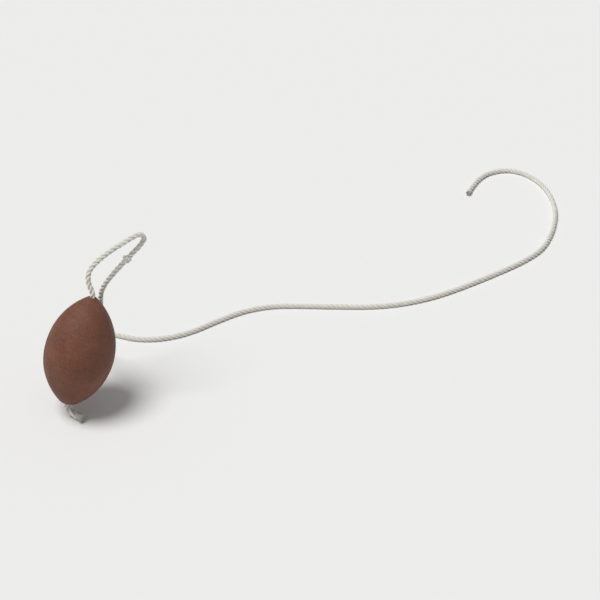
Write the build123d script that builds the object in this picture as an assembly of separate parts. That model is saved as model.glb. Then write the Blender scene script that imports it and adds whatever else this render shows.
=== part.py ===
from build123d import *
from math import cos, pi, radians, sin, sqrt, tan
import os

# Miniature moulded rugby ball threaded on a twisted cotton cord, in millimetres, +Z up.
# The ball stands tip down in a tee's round hole and leans towards +Y. The origin is the centre of the circle
# on which the ball touches that hole, on the ball's own axis. The cord comes out of the lower end as a short
# tail, and out of the upper end as a loop, which falls behind the ball and runs on along the surface below.
# Distances along the ball's axis are measured from the origin, positive towards the upper end.

# Ball
LEAN = 24.0                 # degrees between the ball's axis and the vertical
WIDEST = 9.2                # where along the axis the ball is widest
RADIUS = 13.5               # radius there
UPPER_REACH = 24.0          # from the widest circle to where the upper arc meets the axis
LOWER_REACH = 22.4          # and the same for the fuller lower arc
SKIN = 0.8                  # thickness of the outer skin
BORE = 2.8                  # diameter of the hole along the axis
RECESS = 6.0                # diameter of the pocket for the stopper knot
RECESS_TOP = -5.5           # where along the axis the pocket ends
UPPER_RIM = 0.35            # rounding of the rim of the bore
LOWER_RIM = 0.4             # rounding of the rim of the pocket

# Cord, knots and frayed ends
CORD = 2.0                  # diameter of the cord
BEND_SHARE = 0.45           # share of the shorter run that each arc takes
STOPPER = 5.2               # diameter of the stopper knot
STOPPER_TOP = -5.8
STOPPER_FOOT = -11.9
LOOP_KNOT = 4.4             # diameter of the small knot in the loop
LOOP_KNOT_PLACE = (4.5, 27.8, 41.2)
FRAY = 3.6                  # width of the frayed tail's open end
FRAY_LENGTH = 2.6
CUT_END = 2.4               # width of the far end, which is hardly frayed
CUT_END_LENGTH = 1.6


def on_axis(distance):
    """The point at this distance along the ball's leaning axis."""
    return (0.0, distance * sin(radians(LEAN)), distance * cos(radians(LEAN)))


# The cord's centre line, from the end of the tail, up through the ball and on to the far end.
TAIL = [(5.0, -4.3, -14.9), (3.0, -4.5, -14.7), (1.0, -5.2, -13.7)]
THROUGH_THE_BALL = [on_axis(-13.0), on_axis(33.5)]
LOOP = [
    (-2.4, 13.4, 34.8), (-3.2, 14.8, 38.8), (-1.8, 18.2, 42.2), (0.8, 22.8, 45.4), (3.6, 27.2, 48.0),
    (5.4, 30.1, 49.5), (6.8, 32.3, 50.6), (7.6, 33.8, 50.2), (8.0, 34.7, 48.8), (7.8, 34.7, 47.1),
    (6.9, 33.3, 45.0), (5.6, 30.5, 42.6), (3.9, 27.6, 39.7), (1.8, 25.2, 36.2), (-0.8, 23.2, 32.0),
    (-3.2, 21.8, 27.4),
]
BEHIND_THE_BALL = [
    (-4.8, 22.0, 22.4), (-5.2, 22.4, 16.6), (-6.4, 23.2, 10.8), (-9.4, 24.0, 5.2), (-13.4, 25.8, 0.0),
    (-17.8, 27.8, -5.0), (-21.8, 30.2, -9.6), (-24.8, 33.4, -13.2), (-26.0, 37.4, -15.4),
]
ON_THE_SURFACE = [
    (-25.0, 41.6, -16.0), (-22.0, 44.6, -16.0), (-17.4, 46.0, -16.0), (-12.0, 47.8, -16.0),
    (-6.4, 51.6, -16.0), (-1.0, 57.8, -16.0), (3.4, 66.4, -16.0), (6.4, 77.8, -16.0), (10.6, 90.2, -16.0),
    (17.8, 100.4, -16.0), (28.8, 108.6, -16.0), (40.4, 117.0, -16.0), (51.8, 125.6, -16.0),
    (61.4, 136.4, -16.0), (68.4, 148.6, -16.0), (73.8, 162.8, -16.0), (78.4, 177.0, -16.0),
    (82.4, 190.8, -16.0), (84.2, 204.8, -16.0), (80.2, 219.0, -16.0), (73.8, 232.4, -16.0),
    (64.2, 243.8, -16.0), (51.4, 251.6, -16.0), (39.2, 252.4, -16.0), (31.4, 245.2, -16.0),
    (29.8, 233.8, -16.0), (33.2, 223.2, -15.7),
]
ROUTE = TAIL + THROUGH_THE_BALL + LOOP + BEHIND_THE_BALL + ON_THE_SURFACE


def leaning(shape):
    """Tilts a piece made along Z to the ball's leaning axis."""
    return Rot(X=-LEAN) * shape


def arc_radius(reach):
    """The radius of the arc from the widest circle to the axis, which it meets at this reach."""
    return (reach**2 + RADIUS**2) / (2 * RADIUS)


def end_point(reach, side, inset, opening):
    """Where the upper (1) or lower (-1) arc, this far inside the ball, meets an opening's wall."""
    arc = arc_radius(reach)
    climb = sqrt((arc - inset) ** 2 - (arc - RADIUS + opening / 2) ** 2)
    return (opening / 2, WIDEST + side * climb)


def wall_line(inset):
    """Half of the ball's outline, this far inside it, from the bore down to the knot's pocket."""
    side = (RADIUS - inset, WIDEST)
    top = end_point(UPPER_REACH, 1, inset, BORE)
    bottom = end_point(LOWER_REACH, -1, inset, RECESS)
    upper = RadiusArc(top, side, arc_radius(UPPER_REACH) - inset)
    lower = RadiusArc(side, bottom, arc_radius(LOWER_REACH) - inset)
    return upper + lower, top, bottom


def turned(outline):
    """The solid of revolution of a closed half outline."""
    return revolve(Plane.XZ * make_face(outline), Axis.Z)


def outer_skin():
    outside, outer_top, outer_bottom = wall_line(0)
    inside, inner_top, inner_bottom = wall_line(SKIN)
    shell = turned(outside + Line(outer_bottom, inner_bottom) + inside + Line(inner_top, outer_top))
    shell = fillet(rim(shell, BORE, 1), UPPER_RIM)
    return leaning(fillet(rim(shell, RECESS, -1), LOWER_RIM))


def foam_core():
    wall, top, bottom = wall_line(SKIN)
    pocket = Polyline(bottom, (RECESS / 2, RECESS_TOP), (BORE / 2, RECESS_TOP), top)
    return leaning(turned(wall + pocket))


def rim(shape, diameter, side):
    """The outermost round edge of this diameter, on the upper (1) or the lower (-1) side."""
    rims = [edge for edge in shape.edges().filter_by(GeomType.CIRCLE) if abs(2 * edge.radius - diameter) < 0.01]
    return max(rims, key=lambda edge: side * edge.center().Z)


def bend_radii(points):
    """The radius of the arc at each corner of the route, as large as its two runs allow."""
    radii = []
    for before, here, after in zip(points, points[1:], points[2:]):
        arriving = Vector(*here) - Vector(*before)
        leaving = Vector(*after) - Vector(*here)
        shorter = min(arriving.length, leaving.length)
        half_turn = radians(arriving.get_angle(leaving)) / 2
        radii.append(BEND_SHARE * shorter / tan(half_turn))
    return radii


def tether_cord():
    radii = bend_radii(ROUTE)
    path = FilletPolyline(*ROUTE, radius=radii)
    section = Plane(origin=path @ 0, z_dir=path % 0) * Circle(CORD / 2)
    cord = sweep(section, path=path)
    expected = pi * (CORD / 2) ** 2 * path.length
    print("cord radii", [round(radius, 1) for radius in radii])
    print(f"cord length {path.length:.1f}, volume {cord.volume:.1f}, section times length {expected:.1f}")
    return cord


def stopper_knot(cord):
    """The knot that fills the pocket in the ball's lower end, as a rounded barrel round the cord."""
    foot_up = (Align.CENTER, Align.CENTER, Align.MIN)
    barrel = Pos(0, 0, STOPPER_FOOT) * Cylinder(STOPPER / 2, STOPPER_TOP - STOPPER_FOOT, align=foot_up)
    barrel = fillet(barrel.edges().filter_by(GeomType.CIRCLE), STOPPER / 4)
    return leaning(barrel) - cord


def loop_knot(cord):
    return Pos(*LOOP_KNOT_PLACE) * Sphere(LOOP_KNOT / 2) - cord


def frayed_end(tip, inner, width, length):
    """A tuft that opens from the cord's end face, away from the inner point."""
    outwards = Vector(*tip) - Vector(*inner)
    return Plane(origin=tip, z_dir=outwards) * Cone(
        CORD / 2, width / 2, length, align=(Align.CENTER, Align.CENTER, Align.MIN)
    )


cord = tether_cord()
parts = {
    "outer_skin": outer_skin(),
    "foam_core": foam_core(),
    "tether_cord": cord,
    "stopper_knot": stopper_knot(cord),
    "loop_knot": loop_knot(cord),
    "tail_fray": frayed_end(ROUTE[0], ROUTE[1], FRAY, FRAY_LENGTH),
    "far_end_fray": frayed_end(ROUTE[-1], ROUTE[-2], CUT_END, CUT_END_LENGTH),
}

os.makedirs("parts", exist_ok=True)
for name, shape in parts.items():
    solids = shape.solids()
    export_step(solids[0] if len(solids) == 1 else Compound(solids), f"parts/{name}.step")
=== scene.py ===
from math import asin, cos, pi, radians, sin, sqrt

import bpy
import numpy as np
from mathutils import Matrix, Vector, noise


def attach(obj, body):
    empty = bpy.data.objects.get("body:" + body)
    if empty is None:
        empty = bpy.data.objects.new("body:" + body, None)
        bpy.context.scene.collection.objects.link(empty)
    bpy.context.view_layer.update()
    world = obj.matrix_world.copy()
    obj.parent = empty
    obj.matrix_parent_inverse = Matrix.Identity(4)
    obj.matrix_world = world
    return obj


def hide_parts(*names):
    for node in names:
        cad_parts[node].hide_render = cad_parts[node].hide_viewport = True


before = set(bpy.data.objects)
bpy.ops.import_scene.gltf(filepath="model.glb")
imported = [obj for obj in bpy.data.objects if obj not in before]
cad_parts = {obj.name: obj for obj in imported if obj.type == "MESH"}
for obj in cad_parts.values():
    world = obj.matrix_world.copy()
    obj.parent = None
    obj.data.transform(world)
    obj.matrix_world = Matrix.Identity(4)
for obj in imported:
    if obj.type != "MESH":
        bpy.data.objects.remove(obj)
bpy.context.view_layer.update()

# The ball, in metres, as in the CAD model. The origin is where the ball sits in its tee, on its own axis.
LEAN = radians(24)
AXIS = Vector((0, sin(LEAN), cos(LEAN)))
WIDEST = 0.0092
RADIUS = 0.0135
UPPER_REACH = 0.0240
LOWER_REACH = 0.0224
SKIN = 0.0008
BORE = 0.0028
RECESS = 0.0060
RIM_ROUNDING = 0.00045          # how far into the bore the upper rim's rounding starts
POCKET_ROUNDING = 0.0005        # and the same for the lower rim

# The skin's unevenness: how high each kind stands, and how many times in a metre it repeats
WAVE_HEIGHT, WAVE_RATE = 0.00008, 110
PEEL_HEIGHT, PEEL_RATE = 0.000022, 900
FINE_PEEL_HEIGHT, FINE_PEEL_RATE = 0.000012, 1900
RING_HEIGHT, RING_RATE = 0.000012, 700
PARTING_LINE = radians(45)      # where round the axis the two halves of the mould met
PARTING_HEIGHT, PARTING_WIDTH = 0.00005, 0.00012

# The cord
CORD = 0.002
LAY_LENGTH = 0.0062             # length in which a strand goes once round the cord
STRANDS = 3
STRAND = 0.00055                # radius of one strand
STRAND_PLACE = 0.95             # how far a strand's middle is from the cord's, in strand radii
STRAND_FLATTENING = 1.12        # how much wider than high a strand is, pressed by its neighbours
YARN_TWIST = 5.2                # radians that a strand's yarns turn in a millimetre
YARN_GROOVE = 0.10              # depth of the grooves between yarns, in strand radii
TIGHT_FROM = 0.0087             # distance from the tail's tip at which the cord is tight again
TIGHTENING = 0.0035             # length over which it tightens there
CUT_END = 0.004                 # the slightly loosened stretch at the far end
LINE_STEP = 0.0004              # between points along the cord's line
FLOOR = -0.017

# The cord's loose fibres and the yarns of its cut ends
FUZZ_COUNT = 2200
FUZZ_LENGTH = (0.0004, 0.0013)
FUZZ_THICKNESS = (0.000009, 0.000016)
YARN_THICKNESS = (0.00006, 0.00013)
BORE_STRETCH = (-0.0130, 0.0340)  # the stretch of the axis, both mouths included, where the cord has no fuzz,
BORE_REACH = 0.003                # as far from the axis as this

# The camera's place as seen from the tee, and what it looks at
CAMERA_AZIMUTH = radians(45.5)
CAMERA_ELEVATION = radians(37.1)
CAMERA_DISTANCE = 0.807
AIM = (0.0325, 0.1000, -0.0065)
LENS = 125


def on_axis(distance):
    """The point at this distance along the ball's leaning axis."""
    return tuple(AXIS * distance)


# The cord's route, the same points as in the CAD model. Near each end of the straight stretch through the
# ball a further point keeps the line straight up to the bend.
ROUTE = [
    (0.0050, -0.0043, -0.0149), (0.0030, -0.0045, -0.0147), (0.0010, -0.0052, -0.0137), on_axis(-0.0130),
    on_axis(-0.0099), on_axis(0.0291), on_axis(0.0335), (-0.0024, 0.0134, 0.0348),
    (-0.0032, 0.0148, 0.0388), (-0.0018, 0.0182, 0.0422), (0.0008, 0.0228, 0.0454),
    (0.0036, 0.0272, 0.0480), (0.0054, 0.0301, 0.0495), (0.0068, 0.0323, 0.0506), (0.0076, 0.0338, 0.0502),
    (0.0080, 0.0347, 0.0488), (0.0078, 0.0347, 0.0471), (0.0069, 0.0333, 0.0450), (0.0056, 0.0305, 0.0426),
    (0.0039, 0.0276, 0.0397), (0.0018, 0.0252, 0.0362), (-0.0008, 0.0232, 0.0320),
    (-0.0032, 0.0218, 0.0274), (-0.0048, 0.0220, 0.0224), (-0.0052, 0.0224, 0.0166),
    (-0.0064, 0.0232, 0.0108), (-0.0094, 0.0240, 0.0052), (-0.0134, 0.0258, 0.0000),
    (-0.0178, 0.0278, -0.0050), (-0.0218, 0.0302, -0.0096), (-0.0248, 0.0334, -0.0132),
    (-0.0260, 0.0374, -0.0154), (-0.0250, 0.0416, -0.0160), (-0.0220, 0.0446, -0.0160),
    (-0.0174, 0.0460, -0.0160), (-0.0120, 0.0478, -0.0160), (-0.0064, 0.0516, -0.0160),
    (-0.0010, 0.0578, -0.0160), (0.0034, 0.0664, -0.0160), (0.0064, 0.0778, -0.0160),
    (0.0106, 0.0902, -0.0160), (0.0178, 0.1004, -0.0160), (0.0288, 0.1086, -0.0160),
    (0.0404, 0.1170, -0.0160), (0.0518, 0.1256, -0.0160), (0.0614, 0.1364, -0.0160),
    (0.0684, 0.1486, -0.0160), (0.0738, 0.1628, -0.0160), (0.0784, 0.1770, -0.0160),
    (0.0824, 0.1908, -0.0160), (0.0842, 0.2048, -0.0160), (0.0802, 0.2190, -0.0160),
    (0.0738, 0.2324, -0.0160), (0.0642, 0.2438, -0.0160), (0.0514, 0.2516, -0.0160),
    (0.0392, 0.2524, -0.0160), (0.0314, 0.2452, -0.0160), (0.0298, 0.2338, -0.0160),
    (0.0332, 0.2232, -0.0157),
]
STOPPER_PLACE = on_axis(-0.0090)
LOOP_KNOT_PLACE = (0.0045, 0.0278, 0.0412)


# ---------------------------------------------------------------- meshes

def new_object(name, vertices, faces, material):
    mesh = bpy.data.meshes.new(name)
    mesh.from_pydata([tuple(v) for v in vertices], [], faces)
    mesh.update()
    mesh.polygons.foreach_set("use_smooth", [True] * len(mesh.polygons))
    mesh.materials.append(material)
    obj = bpy.data.objects.new(name, mesh)
    bpy.context.scene.collection.objects.link(obj)
    return obj


def ring_faces(first, rings, around, closed):
    """Quads that join rings of vertices, with a cap at each end unless the rings close on themselves."""
    faces = []
    for ring in range(rings if closed else rings - 1):
        here = first + ring * around
        there = first + (ring + 1) % rings * around
        for k in range(around):
            after = (k + 1) % around
            faces.append((here + k, here + after, there + after, there + k))
    if not closed:
        faces.append(tuple(first + k for k in reversed(range(around))))
        faces.append(tuple(first + (rings - 1) * around + k for k in range(around)))
    return faces


def add_attribute(obj, name, values):
    """A number at each vertex that a material can read."""
    layer = obj.data.attributes.new(name, "FLOAT", "POINT")
    layer.data.foreach_set("value", np.asarray(values, dtype=np.float32))


def resample(points, step):
    """Points evenly spaced along a line."""
    points = np.asarray(points, dtype=float)
    lengths = np.r_[0, np.cumsum(np.linalg.norm(np.diff(points, axis=0), axis=1))]
    count = max(2, int(round(lengths[-1] / step)) + 1)
    places = np.linspace(0, lengths[-1], count)
    return np.stack([np.interp(places, lengths, points[:, axis]) for axis in range(3)], axis=1), places


def route_line(points):
    """Points read from the smooth spline that has the route's points as its control points."""
    curve = bpy.data.curves.new("route", "CURVE")
    curve.dimensions = "3D"
    spline = curve.splines.new("NURBS")
    spline.points.add(len(points) - 1)
    for control, point in zip(spline.points, points):
        control.co = (*point, 1)
    spline.order_u = 3
    spline.use_endpoint_u = True
    spline.resolution_u = 24
    holder = bpy.data.objects.new("route", curve)
    mesh = bpy.data.meshes.new_from_object(holder)
    line = np.array([vertex.co[:] for vertex in mesh.vertices])
    bpy.data.objects.remove(holder)
    bpy.data.curves.remove(curve)
    bpy.data.meshes.remove(mesh)
    return line


ACROSS_START = [0.31, 0.17, 0.93]   # any direction that no line starts along


def unit(rows):
    return rows / np.linalg.norm(rows, axis=-1, keepdims=True)


def carried_frame(line):
    """The tangents of a line, and at each point two directions across it that turn as little as possible."""
    tangents = unit(np.gradient(line, axis=0))
    side = unit(np.cross(tangents[0], ACROSS_START))
    sides = [side]
    for tangent in tangents[1:]:
        side = side - tangent * (side @ tangent)
        side = side / np.linalg.norm(side)
        sides.append(side)
    sides = np.array(sides)
    return tangents, sides, np.cross(tangents, sides)


def smooth_noise(places, wavelength, rng):
    """A smooth random wave between about -1 and 1 along a line."""
    knots = int(places[-1] / wavelength) + 4
    values = rng.uniform(-1, 1, knots)
    where = places / wavelength
    low = np.clip(where.astype(int), 0, knots - 2)
    share = where - low
    share = share * share * (3 - 2 * share)
    return values[low] * (1 - share) + values[low + 1] * share


def twisted_strands(line, places, size, spread, phase, rng, around=22, yarns=6):
    """Vertices, faces and painted groove shade of strands twisted round a line.

    size is each strand's radius and spread is how far its middle is from the line, at every point.
    """
    _, sides, ups = carried_frame(line)
    corner = np.arange(around) * 2 * pi / around
    vertices, faces, groove_shade = [], [], []
    for strand in range(STRANDS):
        turn = phase + 2 * pi * strand / STRANDS + 0.10 * smooth_noise(places, 0.009, rng)
        outwards = np.cos(turn)[:, None] * sides + np.sin(turn)[:, None] * ups
        across = -np.sin(turn)[:, None] * sides + np.cos(turn)[:, None] * ups
        loose = 1 + 0.05 * smooth_noise(places, 0.0032, rng)
        middle = line + outwards * (spread * loose)[:, None]
        plump = size * (1 + 0.05 * smooth_noise(places, 0.0024, rng))
        # yarns lie nearly along the cord, because each strand is twisted the other way
        yarn_angle = corner[None, :] * yarns + (places * 1000 * YARN_TWIST)[:, None] + strand
        groove = 0.5 - 0.5 * np.cos(yarn_angle)
        radius = plump[:, None] * (1 - YARN_GROOVE * (1 - groove) ** 2)
        ring = (
            middle[:, None, :]
            + (radius * np.cos(corner))[:, :, None] * outwards[:, None, :]
            + (STRAND_FLATTENING * radius * np.sin(corner))[:, :, None] * across[:, None, :]
        )
        faces += ring_faces(len(vertices) * len(line) * around, len(line), around, closed=False)
        vertices.append(ring.reshape(-1, 3))
        # painted shade: the colour value darkens in the grooves between the yarns and on each strand's inward
        # side, where the strands shade each other
        outside = 0.5 + 0.5 * np.cos(corner)[None, :]
        groove_shade.append((groove * outside ** 0.7).reshape(-1))
    return np.concatenate(vertices), faces, np.concatenate(groove_shade)


def fibre(points, thick, taper, sides=4):
    """A thin thread through a few points, as vertices and faces that start at 0; taper is its tip's share."""
    points = np.asarray(points)
    _, across, up = carried_frame(points)
    shrink = np.linspace(1, taper, len(points))
    corner = np.arange(sides) * 2 * pi / sides
    sideways = np.cos(corner)[None, :, None] * across[:, None, :]
    upwards = np.sin(corner)[None, :, None] * up[:, None, :]
    ring = points[:, None, :] + thick * shrink[:, None, None] * (sideways + upwards)
    return ring.reshape(-1, 3), ring_faces(0, len(points), sides, closed=False)


def fibres_object(name, threads, taper, material):
    """One object of many threads, each given as (points, thickness)."""
    vertices, faces, first = [], [], 0
    for points, thick in threads:
        ring, quads = fibre(points, thick, taper)
        vertices.append(ring)
        faces += [tuple(first + k for k in face) for face in quads]
        first += len(ring)
    return new_object(name, np.concatenate(vertices), faces, material)


# ---------------------------------------------------------------- materials

def new_material(name):
    material = bpy.data.materials.new(name)
    material.use_nodes = True
    nodes, links = material.node_tree.nodes, material.node_tree.links
    return material, nodes, links, nodes["Principled BSDF"]


def noise_node(nodes, links, vector, scale, detail, rough=0.5):
    node = nodes.new("ShaderNodeTexNoise")
    node.inputs["Scale"].default_value = scale
    node.inputs["Detail"].default_value = detail
    node.inputs["Roughness"].default_value = rough
    links.new(vector, node.inputs["Vector"])
    return node.outputs["Fac"]


def ramp(nodes, links, fac, stops):
    """A colour ramp; stops are (position, (r, g, b))."""
    node = nodes.new("ShaderNodeValToRGB")
    links.new(fac, node.inputs["Fac"])
    elements = node.color_ramp.elements
    while len(elements) < len(stops):
        elements.new(0.5)
    for element, (position, colour) in zip(elements, stops):
        element.position = position
        element.color = (*colour, 1)
    return node.outputs["Color"]


def mixed(nodes, links, kind, factor, first, second):
    """Two colours mixed; factor is a number or a socket."""
    node = nodes.new("ShaderNodeMix")
    node.data_type = "RGBA"
    node.blend_type = kind
    if isinstance(factor, (int, float)):
        node.inputs["Factor"].default_value = factor
    else:
        links.new(factor, node.inputs["Factor"])
    for socket, colour in ((node.inputs[6], first), (node.inputs[7], second)):
        if isinstance(colour, tuple):
            socket.default_value = (*colour, 1)
        else:
            links.new(colour, socket)
    return node.outputs[2]


def math_node(nodes, links, kind, first, second):
    node = nodes.new("ShaderNodeMath")
    node.operation = kind
    for socket, value in zip(node.inputs, (first, second)):
        if isinstance(value, (int, float)):
            socket.default_value = value
        else:
            links.new(value, socket)
    return node.outputs[0]


def bump(nodes, links, shader, height, distance, strength):
    node = nodes.new("ShaderNodeBump")
    node.inputs["Distance"].default_value = distance
    node.inputs["Strength"].default_value = strength
    links.new(height, node.inputs["Height"])
    links.new(node.outputs["Normal"], shader.inputs["Normal"])


def skin_material():
    """Matte brown moulded skin: mottled, finely grained, with faint rings round the axis and dusty specks."""
    material, nodes, links, shader = new_material("brown_moulded_skin")
    place = nodes.new("ShaderNodeTexCoord").outputs["Object"]
    along = nodes.new("ShaderNodeVectorMath")
    along.operation = "DOT_PRODUCT"
    links.new(place, along.inputs[0])
    along.inputs[1].default_value = AXIS
    rings = nodes.new("ShaderNodeTexNoise")
    rings.noise_dimensions = "1D"
    rings.inputs["Scale"].default_value = 900
    rings.inputs["Detail"].default_value = 3
    links.new(along.outputs["Value"], rings.inputs["W"])
    clouds = noise_node(nodes, links, place, scale=140, detail=4, rough=0.6)
    grain = noise_node(nodes, links, place, scale=1500, detail=3, rough=0.65)
    specks = noise_node(nodes, links, place, scale=3200, detail=2)
    base = ramp(nodes, links, clouds, [
        (0.30, (0.162, 0.061, 0.037)), (0.52, (0.191, 0.074, 0.046)), (0.72, (0.224, 0.090, 0.056)),
    ])
    grained = mixed(nodes, links, "MULTIPLY", 0.55, base, ramp(nodes, links, grain, [
        (0.35, (0.62, 0.60, 0.58)), (0.60, (1.0, 1.0, 1.0)),
    ]))
    ringed = mixed(nodes, links, "MULTIPLY", 0.30, grained, ramp(nodes, links, rings.outputs["Fac"], [
        (0.35, (0.80, 0.78, 0.76)), (0.62, (1.0, 1.0, 1.0)),
    ]))
    dust = ramp(nodes, links, specks, [(0.66, (0, 0, 0)), (0.76, (0.35, 0.35, 0.35))])
    dusty = mixed(nodes, links, "MIX", dust, ringed, (0.34, 0.19, 0.14))
    links.new(dusty, shader.inputs["Base Color"])
    links.new(ramp(nodes, links, grain, [(0.3, (0.74, 0.74, 0.74)), (0.7, (0.58, 0.58, 0.58))]),
              shader.inputs["Roughness"])
    shader.inputs["Specular IOR Level"].default_value = 0.30
    shader.inputs["Sheen Weight"].default_value = 0.03
    shader.inputs["Sheen Roughness"].default_value = 0.5
    height = math_node(nodes, links, "ADD", math_node(nodes, links, "MULTIPLY", grain, 0.7), specks)
    bump(nodes, links, shader, height, distance=0.00006, strength=0.55)
    return material


def foam_material():
    """The cut foam inside the bore and the knot's pocket."""
    material, nodes, links, shader = new_material("brown_foam")
    place = nodes.new("ShaderNodeTexCoord").outputs["Object"]
    cells = nodes.new("ShaderNodeTexVoronoi")
    cells.inputs["Scale"].default_value = 2600
    links.new(place, cells.inputs["Vector"])
    # painted shade: each cell is darkest at its middle, where the bump sinks it into a pit, as shade in the
    # foam's open pores
    colour = ramp(nodes, links, cells.outputs["Distance"], [
        (0.1, (0.06, 0.030, 0.020)), (0.7, (0.17, 0.09, 0.06)),
    ])
    links.new(colour, shader.inputs["Base Color"])
    shader.inputs["Roughness"].default_value = 0.95
    shader.inputs["Specular IOR Level"].default_value = 0.2
    bump(nodes, links, shader, cells.outputs["Distance"], distance=0.0001, strength=0.8)
    return material


def cotton_material(name, light, shade):
    """Soft cotton with painted shade: darker and warmer in the grooves between the yarns and on the strands'
    inward sides; slightly uneven along the cord.
    """
    material, nodes, links, shader = new_material(name)
    place = nodes.new("ShaderNodeTexCoord").outputs["Object"]
    groove = nodes.new("ShaderNodeAttribute")
    groove.attribute_name = "groove"
    soft = noise_node(nodes, links, place, scale=260, detail=3)
    fine = noise_node(nodes, links, place, scale=5200, detail=2, rough=0.6)
    # painted shade: the shade colour in the grooves and on the strands' inward sides, the light colour on the
    # yarns' crests
    yarns = ramp(nodes, links, groove.outputs["Fac"], [(0.0, shade), (0.55, light)])
    uneven = mixed(nodes, links, "MULTIPLY", 0.5, yarns, ramp(nodes, links, soft, [
        (0.3, (0.88, 0.87, 0.84)), (0.65, (1.0, 1.0, 1.0)),
    ]))
    combed = mixed(nodes, links, "MULTIPLY", 0.6, uneven, ramp(nodes, links, fine, [
        (0.3, (0.80, 0.79, 0.77)), (0.6, (1.0, 1.0, 1.0)),
    ]))
    links.new(combed, shader.inputs["Base Color"])
    shader.inputs["Roughness"].default_value = 0.92
    shader.inputs["Specular IOR Level"].default_value = 0.15
    shader.inputs["Sheen Weight"].default_value = 0.35
    shader.inputs["Sheen Roughness"].default_value = 0.6
    bump(nodes, links, shader, fine, distance=0.00005, strength=0.5)
    return material


def plain_material(name, colour, roughness):
    material, _, _, shader = new_material(name)
    shader.inputs["Base Color"].default_value = (*colour, 1)
    shader.inputs["Roughness"].default_value = roughness
    shader.inputs["Specular IOR Level"].default_value = 0.2
    return material


# ---------------------------------------------------------------- the ball

def arc_radius(reach):
    """The radius of the arc from the widest circle to the axis, which it meets at this reach."""
    return (reach ** 2 + RADIUS ** 2) / (2 * RADIUS)


def arc_points(reach, side, inset, opening, count):
    """Points (distance from the axis, place along it) from the widest circle to an opening's wall."""
    arc = arc_radius(reach)
    centre = arc - RADIUS
    last = asin(sqrt((arc - inset) ** 2 - (centre + opening / 2) ** 2) / (arc - inset))
    angles = np.linspace(0, last, count)
    return [((arc - inset) * cos(a) - centre, WIDEST + side * (arc - inset) * sin(a)) for a in angles]


def rounded_rim(before, corner, after, count=6):
    """A small curve that replaces a rim's sharp corner."""
    before, corner, after = (np.array(point) for point in (before, corner, after))
    shares = np.linspace(0, 1, count)
    return [tuple((1 - t) ** 2 * before + 2 * t * (1 - t) * corner + t * t * after) for t in shares]


def skin_outline():
    """The closed outline of the skin's wall, and how much of the surface's unevenness each point takes."""
    upper = arc_points(UPPER_REACH, 1, 0, BORE, 78)
    lower = arc_points(LOWER_REACH, -1, 0, RECESS, 76)
    inner_upper = arc_points(UPPER_REACH, 1, SKIN, BORE, 24)
    inner_lower = arc_points(LOWER_REACH, -1, SKIN, RECESS, 24)
    top, bottom = upper.pop(), lower.pop()
    top_rim = rounded_rim((top[0], top[1] - RIM_ROUNDING), top, upper.pop())
    bottom_rim = rounded_rim(lower.pop(), bottom, (bottom[0], bottom[1] + POCKET_ROUNDING))
    outline = top_rim + upper[::-1] + lower[1:] + bottom_rim
    outside = len(outline)
    outline += inner_lower[::-1] + inner_upper[1:]
    uneven = np.zeros(len(outline))
    rim = len(top_rim)
    uneven[:outside] = 1
    uneven[:rim] = np.linspace(0, 1, rim)
    uneven[outside - rim:outside] = np.linspace(1, 0, rim)
    return np.array(outline), uneven


def unevenness(point, along, angle):
    """How far the skin stands out at a point: slow waves, orange peel, faint rings and the parting line."""
    waves = noise.noise(point * WAVE_RATE) * WAVE_HEIGHT
    coarse_peel = noise.noise(point * PEEL_RATE) * PEEL_HEIGHT
    fine_peel = noise.noise(point * FINE_PEEL_RATE) * FINE_PEEL_HEIGHT
    # the rings follow one straight line through the noise, at a fixed place in it
    rings = noise.noise(Vector((along * RING_RATE, 3.1, 7.7))) * RING_HEIGHT
    off = abs((angle - PARTING_LINE + pi / 2) % pi - pi / 2) * RADIUS
    parting = PARTING_HEIGHT * np.exp(-((off / PARTING_WIDTH) ** 2))
    return waves + (coarse_peel + fine_peel) + rings + parting


def skin_angles():
    """Where round the axis the skin has vertices: evenly, and closer together at the parting line."""
    angles = np.linspace(0, 2 * pi, 300, endpoint=False)
    close = np.linspace(-0.018, 0.018, 9)
    near, far = (PARTING_LINE + close) % (2 * pi), (PARTING_LINE + pi + close) % (2 * pi)
    angles = np.unique(np.concatenate([angles, near, far]))
    return angles[np.r_[True, np.diff(angles) > 0.001]]


def ball_skin(material):
    """The skin's wall turned round the ball's axis, with its unevenness."""
    outline, uneven = skin_outline()
    angles = skin_angles()
    across = Vector((0, cos(LEAN), -sin(LEAN)))
    vertices = []
    for (distance, along), share in zip(outline, uneven):
        for angle in angles:
            outwards = Vector((cos(angle), 0, 0)) + across * sin(angle)
            point = outwards * distance + AXIS * along
            if share:
                point += outwards * (share * unevenness(point, along, angle))
            vertices.append(point)
    faces = ring_faces(0, len(outline), len(angles), closed=True)
    return new_object("moulded_skin", vertices, faces, material)


# ---------------------------------------------------------------- the cord and what is on it

def cord_rope(line, places, material, rng):
    """Three twisted strands along the whole cord, looser towards both cut ends."""
    from_tail = np.clip((TIGHT_FROM - places) / TIGHTENING, 0, 1)
    from_end = np.clip(1 - (places[-1] - places) / CUT_END, 0, 1) ** 1.5
    loose = from_tail * from_tail * (3 - 2 * from_tail) + 0.3 * from_end
    # a fully loose strand is 16 % thicker, lies 58 % further out and turns less than half as fast
    size = STRAND * (1 + 0.16 * loose)
    spread = STRAND_PLACE * STRAND * (1 + 0.58 * loose)
    rate = 2 * pi / LAY_LENGTH * (1 - 0.55 * np.clip(loose, 0, 1))
    phase = np.r_[0, np.cumsum((rate[1:] + rate[:-1]) / 2 * np.diff(places))]
    vertices, faces, groove = twisted_strands(line, places, size, spread, phase, rng)
    vertices[:, 2] = np.maximum(vertices[:, 2], FLOOR)
    rope = new_object("twisted_cord", vertices, faces, material)
    # the groove attribute carries painted shade from the grooves and the strands' inward sides into the
    # cotton's colour
    add_attribute(rope, "groove", groove)
    return rope


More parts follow.
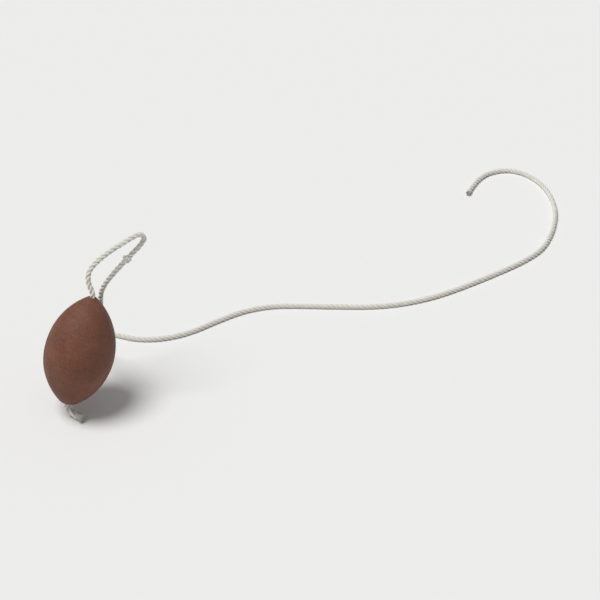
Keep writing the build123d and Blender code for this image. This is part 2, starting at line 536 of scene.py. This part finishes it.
def in_the_ball(point):
    """Whether this point of the cord's line is in the ball's bore or close to either mouth of it."""
    point = Vector(point)
    along = point.dot(AXIS)
    return BORE_STRETCH[0] < along < BORE_STRETCH[1] and (point - AXIS * along).length < BORE_REACH


def cord_fuzz(line, material, rng):
    """Loose ends of fibre that stand off the cord's surface, outside the ball."""
    tangents, sides, ups = carried_frame(line)
    threads = []
    for _ in range(FUZZ_COUNT):
        k = int(rng.integers(2, len(line) - 2))
        if in_the_ball(line[k]):
            continue
        turn = rng.uniform(0, 2 * pi)
        outwards = sides[k] * cos(turn) + ups[k] * sin(turn)
        across = ups[k] * cos(turn) - sides[k] * sin(turn)
        way = outwards * rng.uniform(0.25, 0.9) + across * rng.uniform(-1, 1)
        way = unit(way + tangents[k] * rng.uniform(-1.2, 1.2))
        curl = (across * rng.uniform(-1, 1) + tangents[k] * rng.uniform(-1, 1)) * 0.5
        length = rng.uniform(*FUZZ_LENGTH)
        root = line[k] + outwards * 0.45 * CORD
        points = [root + way * length * t + curl * length * t * t for t in np.linspace(0, 1, 5)]
        points = [np.array([p[0], p[1], max(p[2], FLOOR + 0.00003)]) for p in points]
        threads.append((points, rng.uniform(*FUZZ_THICKNESS)))
    return fibres_object("cord_fuzz", threads, taper=0.35, material=material)


def tuft(name, tip, outwards, material, rng, radius, flare, length, count):
    """The yarns of a cut end, which open out like a small brush, from a radius to a flare."""
    outwards = Vector(outwards).normalized()
    side = outwards.cross(Vector((0.2, 0.3, 0.93))).normalized()
    up = outwards.cross(side)
    threads = []
    for _ in range(count):
        turn = rng.uniform(0, 2 * pi)
        part = rng.uniform(0, 1) ** 0.45
        out = side * cos(turn) + up * sin(turn)
        around = up * cos(turn) - side * sin(turn)
        reach = length * rng.uniform(0.80, 1.0)
        wave = rng.uniform(-0.12, 0.12)
        points = []
        for t in np.linspace(0, 1, 7):
            wide = part * (radius + (flare - radius) * t ** 1.4)
            point = Vector(tip) + outwards * (reach * t - 0.0012 * (1 - t)) + out * wide
            point += around * (wave * length * sin(t * 3.5))
            point.z = max(point.z, FLOOR + 0.00006)
            points.append(np.array(point))
        threads.append((points, rng.uniform(*YARN_THICKNESS)))
    return fibres_object(name, threads, taper=0.75, material=material)


def tied_knot(name, line, places, middle, material, rng, reach, wrap_radius, cord_radius, turns, slant):
    """A small overhand knot: the same twisted cord, wound round itself and crossing over once.

    reach is how far along the cord the knot goes to each side of its middle.
    """
    nearest = int(np.argmin(np.linalg.norm(line - np.array(middle), axis=1)))
    centre = places[nearest]
    _, sides, ups = carried_frame(line)
    path = []
    for t in np.linspace(0, 1, 260):
        turn = 2 * pi * turns * t
        shift = reach * (sin(pi * (t - 0.5)) + slant * sin(turn))
        at = np.clip(centre + shift, places[0], places[-1])
        middle_now = np.array([np.interp(at, places, line[:, axis]) for axis in range(3)])
        side_now = np.array([np.interp(at, places, sides[:, axis]) for axis in range(3)])
        up_now = np.array([np.interp(at, places, ups[:, axis]) for axis in range(3)])
        sink = sin(pi * t) ** 0.35
        path.append(middle_now + wrap_radius * sink * (cos(turn) * side_now + sin(turn) * up_now))
    wound, wound_places = resample(path, 0.00030)
    size = np.full(len(wound), cord_radius * 0.54)
    spread = np.full(len(wound), cord_radius * 0.47)
    phase = 2 * pi * wound_places / (LAY_LENGTH * 0.8)
    vertices, faces, groove = twisted_strands(wound, wound_places, size, spread, phase, rng,
                                              around=16, yarns=5)
    knot = new_object(name, vertices, faces, material)
    # the groove attribute carries painted shade from the grooves and the strands' inward sides into the
    # cotton's colour
    add_attribute(knot, "groove", groove)
    return knot


# ---------------------------------------------------------------- build

skin = ball_skin(skin_material())
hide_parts("outer_skin")
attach(skin, "ball")

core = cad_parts["foam_core"]
core.data.materials.clear()
core.data.materials.append(foam_material())

cotton = cotton_material("cotton_cord", (0.88, 0.87, 0.81), (0.60, 0.57, 0.50))
loose_cotton = cotton_material("loose_cotton", (0.80, 0.78, 0.71), (0.70, 0.67, 0.60))
rng = np.random.default_rng(41)
line, places = resample(route_line(ROUTE), LINE_STEP)
rope = cord_rope(line, places, cotton, rng)
fuzz = cord_fuzz(line, loose_cotton, rng)
stopper = tied_knot("stopper_overhand_knot", line, places, STOPPER_PLACE, cotton, rng,
                    reach=0.0017, wrap_radius=0.00145, cord_radius=0.00105, turns=2.4, slant=0.25)
small_knot = tied_knot("loop_overhand_knot", line, places, LOOP_KNOT_PLACE, cotton, rng,
                       reach=0.0008, wrap_radius=0.00110, cord_radius=0.00078, turns=1.8, slant=0.35)
tail = tuft("tail_tuft", line[0], line[0] - line[4], loose_cotton, rng,
            radius=0.00130, flare=0.0019, length=0.0025, count=340)
far_end = tuft("far_end_tuft", line[-1], line[-1] - line[-5], loose_cotton, rng,
               radius=0.0009, flare=0.0011, length=0.0014, count=90)

for piece, node in ((rope, "tether_cord"), (stopper, "stopper_knot"), (small_knot, "loop_knot"),
                    (tail, "tail_fray"), (far_end, "far_end_fray")):
    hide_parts(node)
for piece in (rope, stopper, small_knot, tail, far_end, fuzz):
    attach(piece, "cord")


# ---------------------------------------------------------------- floor, light and camera

def stage_floor():
    """A wide pale floor that the cord lies on."""
    mesh = bpy.data.meshes.new("floor")
    half = 4
    corners = [(-half, -half, FLOOR), (half, -half, FLOOR), (half, half, FLOOR), (-half, half, FLOOR)]
    mesh.from_pydata(corners, [], [(0, 1, 2, 3)])
    mesh.materials.append(plain_material("pale_floor", (0.86, 0.86, 0.85), 0.9))
    floor = bpy.data.objects.new("floor", mesh)
    bpy.context.scene.collection.objects.link(floor)


def sun_light(towards, width, strength):
    """A wide, soft light from a long way off, so the whole floor is evenly lit."""
    light = bpy.data.lights.new("key", "SUN")
    light.angle = width
    light.energy = strength
    lamp = bpy.data.objects.new("key", light)
    lamp.location = towards
    lamp.rotation_euler = (-Vector(towards)).to_track_quat("-Z", "Y").to_euler()
    bpy.context.scene.collection.objects.link(lamp)


def set_world(colour, strength):
    world = bpy.data.worlds.new("studio")
    world.use_nodes = True
    background = world.node_tree.nodes["Background"]
    background.inputs["Color"].default_value = (*colour, 1)
    background.inputs["Strength"].default_value = strength
    bpy.context.scene.world = world


def set_camera():
    data = bpy.data.cameras.new("camera")
    data.sensor_width = 36
    data.lens = LENS
    data.clip_start = 0.01
    camera = bpy.data.objects.new("camera", data)
    level = CAMERA_DISTANCE * cos(CAMERA_ELEVATION)
    camera.location = (level * sin(CAMERA_AZIMUTH), -level * cos(CAMERA_AZIMUTH),
                       CAMERA_DISTANCE * sin(CAMERA_ELEVATION))
    camera.rotation_euler = (Vector(AIM) - camera.location).to_track_quat("-Z", "Y").to_euler()
    bpy.context.scene.collection.objects.link(camera)
    bpy.context.scene.camera = camera


stage_floor()
set_world((1.0, 1.0, 1.0), 0.28)
sun_light((-0.26, -0.35, 1.22), radians(28), 2.35)
set_camera()
bpy.context.scene.view_settings.view_transform = "Standard"
